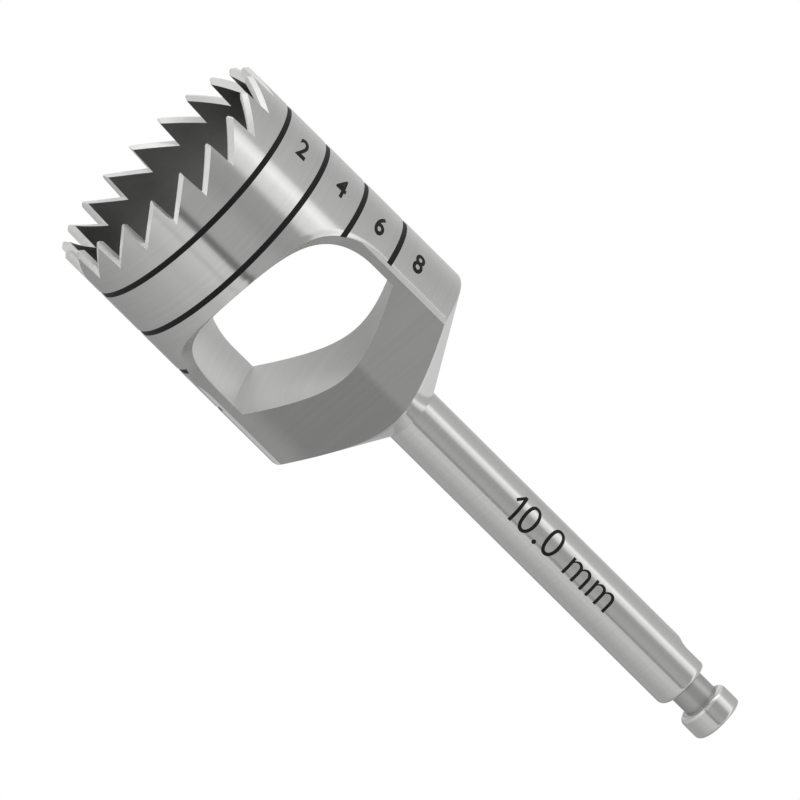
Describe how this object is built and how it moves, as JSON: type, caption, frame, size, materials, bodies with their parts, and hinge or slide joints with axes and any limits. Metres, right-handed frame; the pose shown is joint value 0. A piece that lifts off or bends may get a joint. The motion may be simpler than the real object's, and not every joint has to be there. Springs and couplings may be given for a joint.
{
  "type": "trephine bur",
  "caption": "Hollow saw-toothed cylindrical trephine with two milled side windows, a cone shoulder and a grooved latch shank with a drive flat.",
  "frame": {"origin": "centre of the circle of tooth tips, on the surface that the bur stands on", "axes": "+Z along the bur's axis, from the mouth to the end of the shank; the two milled flats face -Y and +Y"},
  "size_m": [0.01, 0.01, 0.0311],
  "materials": {
    "stainless_steel": "satin turned and milled stainless steel, black laser marks"
  },
  "bodies": {
    "root": {"trephine_bur": "stainless_steel"}
  },
  "joints": []
}
